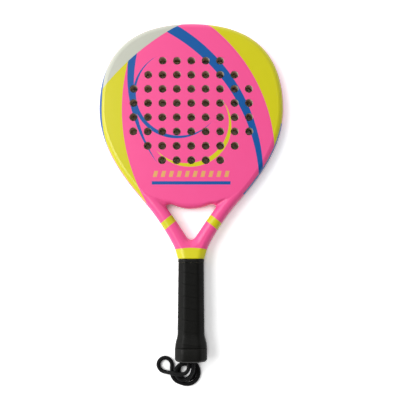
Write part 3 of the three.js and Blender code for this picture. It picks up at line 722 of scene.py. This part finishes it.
def cord_line():
    """The cord's centre line in metres, from inside the slot at the left to inside it at the right."""
    outward = np.array([0, -math.cos(LEAN), math.sin(LEAN)])
    left, right = to_world([[-CORD_SPACING, 0, 0], [CORD_SPACING, 0, 0]])
    loose = [(x * MM, BUTT[0] - out * MM, height * MM) for x, out, height in CORD_ROUTE]
    hidden, clear = outward * 2.8 * MM, outward * 5.3 * MM
    points = [left - hidden, left, left + clear, *loose, right + clear, right, right - hidden]
    return smooth_path(np.array(points), 12)


def tube_along(name, line, radius, material, reference, closed=False):
    """A round tube along a line: a circle square to the line's direction at each of its points."""
    rows, columns = len(line), 18
    if closed:
        way = np.roll(line, -1, axis=0) - np.roll(line, 1, axis=0)
    else:
        way = np.gradient(line, axis=0)
    way /= np.linalg.norm(way, axis=1, keepdims=True)
    side = np.cross(way, reference)
    side /= np.linalg.norm(side, axis=1, keepdims=True)
    up = np.cross(side, way)
    cosine, sine = (part[:, None] for part in circle_steps(columns))
    rings = line[:, None] + radius * (cosine * side[:, None] + sine * up[:, None])
    faces = grid_faces(rows, columns, closed).tolist()
    if not closed:
        faces += [list(range(columns))[::-1], list(range((rows - 1) * columns, rows * columns))]
    run = np.concatenate([[0], np.cumsum(np.linalg.norm(np.diff(line, axis=0), axis=1))])
    girth = np.arange(columns) / columns
    uv = np.stack(np.meshgrid(run, girth, indexing="ij"), axis=-1).reshape(-1, 2)
    return add_mesh(name, rings.reshape(-1, 3), faces, material, uv)


def knot_line():
    """A three-lobed overhand knot inside the cap: sines of one, two and three times the angle."""
    t = np.linspace(0, 2 * np.pi, 160, endpoint=False)
    wide, deep, rise, middle = 1.75, 1.1, 2.4, 8.05
    x, z = wide * (np.sin(t) + 2 * np.sin(2 * t)), deep * (np.cos(t) - 2 * np.cos(2 * t))
    return to_world(np.stack([x, middle + rise * np.sin(3 * t), z], axis=1))


# ---------- finishes

def circle(x, y, centre, radius):
    """Signed distance to a circle in the racket's own millimetres."""
    across, up = x - centre[0], y - centre[1]
    return (across * across + up * up).root() - radius


def crescent(x, y, outer, inner):
    """Inside one circle and outside another."""
    return circle(x, y, *outer).most(circle(x, y, *inner) * -1)


def sweeps(graph, x, y, ground, first, second, third):
    """Plain crescents and edge sweeps in three colours over a ground colour, each cut by large circles
    whose centres are given from the middle of the drilled grid."""
    up = y - GRID
    colour = ground
    for distance, over in (
            (crescent(x, up, ((-150, -92), 250), ((-158, -108), 252.5)), second),
            (circle(x, up, (-124, -66), 240.5) * -1, first),
            (crescent(x, up, ((118, 52), 208), ((132, 40), 212.6)), second),
            (circle(x, up, (176, 4), 273.1) * -1, first),
            (circle(x, up, (150, -180), 346) * -1, third),
            (crescent(x, up, ((-20, 22), 62), ((-16.5, 25), 61.2)), second),
            (crescent(x, up, ((-2, -22), 58), ((-6, -16.5), 58.5)), first)):
        colour = graph.mix(distance.inside(), colour, over)
    return colour


def lacquer_surface(graph, place, colour):
    """Satin lacquer: faint cloudiness in its colour and gloss, and an orange-peel skin."""
    cloud = graph.noise(place, 0.05, 3.0)
    colour = graph.mix(cloud * 0.10, colour, (1.0, 1.0, 1.0), "SOFT_LIGHT")
    peel = graph.noise(place, 0.9, 1.0)
    graph.finish(colour, 0.36 + (cloud - 0.5) * 0.10, graph.bump(peel, 0.00003, 0.6),
                 specular_ior_level=0.35, coat_weight=0.25, coat_roughness=0.22)


def frame_material(sizes, colours):
    """Pink lacquer with the sweeps run out over the front of the rim, blue stretches along its side,
    and yellow bands round the arms and the neck."""
    material, graph = new_material("frame_lacquer")
    place, x, y, z = graph.racket_place()
    ground = tuple(colours.pink)
    colour = sweeps(graph, x, y, ground, tuple(colours.yellow), tuple(colours.blue), tuple(colours.pale))
    sweep_back, sweep_foot, edge = 6, 216, 0.6
    head = (sweep_back - z).most(sweep_foot - y)
    colour = graph.mix(head.inside(edge), ground, colour)
    strip_back, strip_foot, left_top, right_top = -7, 228, 415, 328
    along = (y - 354) / 58
    left = (z - 9.6 + (along * along * 4).least(5)).most(y - left_top).most(x + 60)
    right = (z - 7.5).most(y - right_top).most(45 - x)
    strips = left.least(right).most(strip_back - z).most(strip_foot - y)
    colour = graph.mix(strips.inside(edge), colour, tuple(colours.blue))
    sine, cosine, band_top, neck_band = math.sin(ARM_SLOPE), math.cos(ARM_SLOPE), 203, 152.4
    middle = 43.5 * sine + 179.6 * cosine
    arm = (abs(abs(x) * sine + y * cosine - middle) - sizes.band / MM / 2).most(y - band_top)
    neck = y - neck_band - (1.6 - x * x * 0.0045).most(-0.6)
    colour = graph.mix(arm.least(neck).inside(), colour, tuple(colours.yellow))
    lacquer_surface(graph, place, colour)
    return material


def face_material(name, ground, first, second, third, bar):
    """Lacquer with the plain sweeps, and on the front a bar with slanted strokes over it."""
    material, graph = new_material(name)
    place, x, y, _ = graph.racket_place()
    colour = sweeps(graph, x, y, ground, first, second, third)
    if bar:
        bar_height, bar_half, strokes_height, strokes_half = 243.5, (54.5, 2.3), 256, (52.2, 4.2)
        line = (abs(x) - bar_half[0]).most(abs(y - bar_height) - bar_half[1])
        colour = graph.mix(line.inside(), colour, second)
        pitch, stroke_half, slant, up = 11, 2.6, 0.26, y - strokes_height
        slanted = x - up * slant
        step = (slanted + 10 * pitch).math("MODULO", pitch)
        strokes = (abs(step - pitch / 2) - stroke_half).most(abs(up) - strokes_half[1])
        strokes = strokes.most(abs(slanted) - strokes_half[0])
        pale = tuple(0.6 * a + 0.4 * b for a, b in zip(first, ground))
        colour = graph.mix(strokes.inside(), colour, pale)
    lacquer_surface(graph, place, colour)
    return material


def grained_material(name, colour, scale, depth, roughness, level):
    """A soft matt surface: cell-shaped grain, with a little variation in gloss, and a tone that varies at
    random and is lighter on the grain's raised ridges, a painted light.
    """
    material, graph = new_material(name)
    place = graph.object_place()
    grain = graph.cells(place, scale)
    broad = graph.noise(place, scale * 0.08, 3.0)
    # A lighter copy of the colour: painted light on the grain's raised ridges, spread at random by the broad
    # noise.
    light = tuple(min(1, channel * 1.6 + 0.004) for channel in colour)
    tone = graph.mix((broad + grain) * 0.25, colour, light)
    roughness = roughness + (broad - 0.5) * 0.14
    graph.finish(tone, roughness, graph.bump(grain, depth, 0.7), specular_ior_level=level)
    return material


def foam_material(name, colour, scale):
    """Closed-cell foam: small round pores, with painted shade in the low parts of their relief."""
    material, graph = new_material(name)
    place = graph.object_place()
    pores = graph.cells(place, scale)
    broad = graph.noise(place, scale * 0.2, 2.0)
    # Painted shade: darker where the pores' relief is lowest; lighter at random by the broad noise.
    tone = graph.mix(pores.math("MULTIPLY", 1.2, clamp=True), colour, tuple(0.55 * c for c in colour))
    tone = graph.mix(broad * 0.4, tone, tuple(min(1, 1.25 * c) for c in colour))
    graph.finish(tone, 0.95 - broad * 0.1, graph.bump(pores * -1, 0.0002, 0.8), specular_ior_level=0.2)
    return material


def cord_material(sizes, colours):
    """A round braid: two sets of strands that cross on the cord's own length and girth, with painted light on
    the raised strands and painted shade between them.
    """
    material, graph = new_material("cord_braid")
    uv = graph.node("ShaderNodeTexCoord", output="UV")
    run, girth, _ = graph.split(uv)
    strands = sizes.braid_strands
    along = run * (2 * strands / sizes.cord_diameter)
    around = girth * (2 * math.pi * strands)
    weave = ((along + around).sine() * (along - around).sine() + 1) * 0.5
    fuzz = graph.noise(graph.object_place(), 3.0, 2.0)
    base = tuple(colours.cord)
    # Painted light and shade: a lighter copy of the cord black on the raised strands and a darker one between
    # them, with random fuzz.
    tone = graph.mix(weave * 0.55 + fuzz * 0.25, tuple(0.5 * c for c in base), tuple(1.9 * c for c in base))
    graph.finish(tone, 0.62 + weave * 0.12, graph.bump(weave, 0.00025, 0.8), specular_ior_level=0.18)
    return material


def steel_material():
    """Drawn steel: fine scratches in its gloss and a faint tarnish."""
    material, graph = new_material("tack_steel")
    drawn = {"Vector": graph.object_place(), "Scale": (9.0, 0.6, 9.0)}
    scratch = graph.noise(graph.node("ShaderNodeMapping", inputs=drawn), 2.0)
    tone = graph.mix(scratch, srgb(150, 150, 150), srgb(205, 205, 202))
    graph.finish(tone, 0.28 + scratch * 0.15, graph.bump(scratch, 0.00002, 0.5), metallic=1.0)
    return material


# ---------- operators

class RACKET_OT_frame(Operator):
    """Build the frame: head tube, arms, throat bridge and neck as one lacquered surface"""
    bl_idname = "racket.frame"
    bl_label = "Frame"

    def execute(self, context):
        sizes, colours = context.scene.racket_sizes, context.scene.racket_colours
        points, quads = frame_surface(sizes.tube_width / MM / 2, sizes.corner_blend / MM, sizes.cell / MM)
        piece = add_mesh("racket_frame", to_world(points), quads, frame_material(sizes, colours))
        settle(piece, "frame_lacquer", "frame_tube", "throat_bridge")
        return {"FINISHED"}


class RACKET_OT_faces(Operator):
    """Build the two drilled faces and the drilled foam core between them"""
    bl_idname = "racket.faces"
    bl_label = "Faces and core"

    def execute(self, context):
        sizes, colours = context.scene.racket_sizes, context.scene.racket_colours
        pink, yellow = tuple(colours.pink), tuple(colours.yellow)
        blue, pale = tuple(colours.blue), tuple(colours.pale)
        front = face_material("front_lacquer", pink, yellow, blue, pale, True)
        back = face_material("back_lacquer", yellow, pink, blue, pale, False)
        # The skins stand slightly proud of the frame, so that no two surfaces coincide.
        skin, outer = sizes.skin / MM, HALF_DEPTH + 0.02
        outline = face_outline(RIM_INSET, 0)
        plate = drilled_plate("front_face", outline, outer - skin, outer, sizes, front)
        settle(plate, "front_lacquer", "front_skin")
        plate = drilled_plate("back_face", outline, -outer, skin - outer, sizes, back)
        settle(plate, "back_lacquer", "back_skin")
        foam = foam_material("core_foam", tuple(colours.foam), 1.6)
        core = drilled_plate("foam_core", face_outline(20.3, 10.5), -CORE_HALF, CORE_HALF, sizes, foam)
        settle(core, "core_foam", "face_core")
        return {"FINISHED"}


class RACKET_OT_handle(Operator):
    """Build the wound grip, its collar and the butt cap, and finish the handle's inner parts"""
    bl_idname = "racket.handle"
    bl_label = "Handle"

    def execute(self, context):
        sizes, colours = context.scene.racket_sizes, context.scene.racket_colours
        tape = grained_material("grip_tape", tuple(colours.grip), 1.5, 0.00012, 0.42, 0.12)
        rubber = grained_material("cap_rubber", tuple(colours.rubber), 2.4, 0.00005, 0.42, 0.16)
        grip = ring_piece("grip_wrap", *grip_sections(sizes.tape_pitch / MM, sizes.seam_depth / MM), tape)
        settle(grip, "grip_tape", "base_grip")
        settle(ring_piece("collar_ring", *collar_sections(), rubber), "cap_rubber", "grip_collar")
        settle(ring_piece("end_cap", *cap_sections(), rubber), "cap_rubber", "butt_cap")
        foam = foam_material("handle_foam", srgb(185, 177, 156), 0.9)
        dress(foam, "handle_shell_front", "handle_shell_back")
        dress(steel_material(), "cap_tack_front", "cap_tack_back")
        return {"FINISHED"}


def dress(material, *nodes):
    """Gives CAD nodes a material in place of their own."""
    for node in nodes:
        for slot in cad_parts[node].material_slots:
            slot.material = material


class RACKET_OT_cord(Operator):
    """Build the wrist cord in the loops in which it lies, and its knot inside the cap"""
    bl_idname = "racket.cord"
    bl_label = "Wrist cord"

    def execute(self, context):
        sizes, colours = context.scene.racket_sizes, context.scene.racket_colours
        braid = cord_material(sizes, colours)
        line = cord_line()
        cord = tube_along("wrist_loop", line, sizes.cord_diameter / 2, braid, (0, 0, 1))
        settle(cord, "cord_textile", "wrist_cord")
        # Each span of the line has 12 points, and the second span starts at the butt end.
        knot = tube_along("stopper_knot", knot_line(), sizes.cord_diameter / 2, braid, (0, 1, 0), closed=True)
        settle(knot, "cord_textile", "cord_knot")
        return {"FINISHED"}


class RACKET_OT_stage(Operator):
    """Set up the floor, the soft studio light and the camera"""
    bl_idname = "racket.stage"
    bl_label = "Stage"

    def execute(self, context):
        scene, colours = context.scene, context.scene.racket_colours
        scene.view_settings.view_transform = "Standard"
        make_floor(tuple(colours.floor))
        make_world(scene)
        make_lamp("key_lamp", (-1.1, 0.2, 1.4), target=(0, -0.02, 0), size=1.3, power=26.5)
        make_camera(scene)
        return {"FINISHED"}


def make_floor(colour):
    """A plain square floor that camera rays see as white where nothing stands close over it; near and under
    the racket that glow fades by ambient occlusion, a painted shade.
    """
    material, graph = new_material("floor")
    rays = graph.node("ShaderNodeLightPath").socket.node
    kinds = ("Is Camera Ray", "Is Glossy Ray", "Is Transmission Ray")
    camera, glossy, through = (Value(graph, rays.outputs[kind]) for kind in kinds)
    seen = camera.most(glossy).most(through)
    matt = graph.node("ShaderNodeBsdfDiffuse", inputs={"Color": graph.mix(seen, colour, (1.2, 1.2, 1.2))})
    # Painted shade: the camera-ray glow fades where ambient occlusion finds the racket close overhead, so the
    # floor under and beside it, and in the holes, stays dark.
    open_air = graph.node("ShaderNodeAmbientOcclusion", inputs={"Distance": 0.012}, output="AO")
    share = seen * (open_air * 2.5 - 1.0)
    glow = graph.node("ShaderNodeEmission", inputs={"Color": graph.mix(share, (0, 0, 0), (0.4, 0.4, 0.4))})
    both = graph.node("ShaderNodeAddShader", inputs={0: matt, 1: glow})
    graph.node("ShaderNodeOutputMaterial", inputs={"Surface": both})
    mesh, half = bpy.data.meshes.new("floor"), 6
    corners = [(-half, -half, 0), (half, -half, 0), (half, half, 0), (-half, half, 0)]
    mesh.from_pydata(corners, [], [(0, 1, 2, 3)])
    floor = place_mesh("floor", mesh, material)


def make_world(scene):
    """A soft studio light: pale all round, dim overhead, and stronger from the top left."""
    world = bpy.data.worlds.new("studio")
    scene.world = world
    graph = Graph(world)
    way_x, way_y, way_z = graph.split(graph.node("ShaderNodeTexCoord", output="Generated"))
    level = 1.0 - way_z * 0.88 - way_x * 0.25 + way_y * 0.35
    light = graph.node("ShaderNodeBackground", inputs={"Color": (1, 1, 1), "Strength": level})
    graph.node("ShaderNodeOutputWorld", inputs={"Surface": light})


def make_lamp(name, place, target, size, power):
    """A square soft lamp that faces a point."""
    light = bpy.data.lights.new(name, "AREA")
    light.size, light.energy = size, power
    lamp = bpy.data.objects.new(name, light)
    lamp.location = place
    lamp.rotation_euler = (Vector(place) - Vector(target)).to_track_quat("Z", "Y").to_euler()
    bpy.context.collection.objects.link(lamp)


def make_camera(scene):
    """The photograph's camera: over the racket, leaning 5 degrees towards the butt end."""
    camera = bpy.data.objects.new("camera", bpy.data.cameras.new("camera"))
    camera.data.lens, camera.data.sensor_width = 54, 36
    up = Vector((0, math.cos(LEAN), -math.sin(LEAN)))
    out = Vector((0, math.sin(LEAN), math.cos(LEAN)))
    lean = math.radians(5)
    y_axis = math.cos(lean) * up + math.sin(lean) * out
    z_axis = math.cos(lean) * out - math.sin(lean) * up
    grid = Vector(to_world([0, GRID, HALF_DEPTH]))
    # The camera's place, in metres from the middle of the drilled grid.
    across, down, away = 0.0122, 0.1258, 0.8388
    place = grid + Vector((across, 0, 0)) - down * y_axis + away * z_axis
    turn = Matrix((Vector((1, 0, 0)), y_axis, z_axis)).transposed()
    camera.matrix_world = Matrix.Translation(place) @ turn.to_4x4()
    bpy.context.collection.objects.link(camera)
    scene.camera = camera


OPERATORS = (RACKET_OT_stage, RACKET_OT_cord, RACKET_OT_frame, RACKET_OT_faces, RACKET_OT_handle)


class RACKET_PT_panel(Panel):
    """Lists the racket's operators, sizes and colours"""
    bl_idname = "RACKET_PT_panel"
    bl_label = "Beach Tennis Racket"
    bl_space_type = "VIEW_3D"
    bl_region_type = "UI"
    bl_category = "Racket"

    def draw(self, context):
        for operator in OPERATORS:
            self.layout.operator(operator.bl_idname)
        for group in (context.scene.racket_sizes, context.scene.racket_colours):
            box = self.layout.box()
            for name in group.bl_rna.properties.keys():
                if name not in ("rna_type", "name"):
                    box.prop(group, name)


CLASSES = (RacketSizes, RacketColours, *OPERATORS, RACKET_PT_panel)


def register():
    for cls in CLASSES:
        bpy.utils.register_class(cls)
    bpy.types.Scene.racket_sizes = PointerProperty(type=RacketSizes)
    bpy.types.Scene.racket_colours = PointerProperty(type=RacketColours)


def unregister():
    del bpy.types.Scene.racket_colours
    del bpy.types.Scene.racket_sizes
    for cls in reversed(CLASSES):
        bpy.utils.unregister_class(cls)


def main():
    """Builds everything in order."""
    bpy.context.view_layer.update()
    register()
    bpy.ops.racket.stage()
    bpy.ops.racket.cord()
    bpy.ops.racket.frame()
    bpy.ops.racket.faces()
    bpy.ops.racket.handle()


if __name__ == "__main__":
    main()
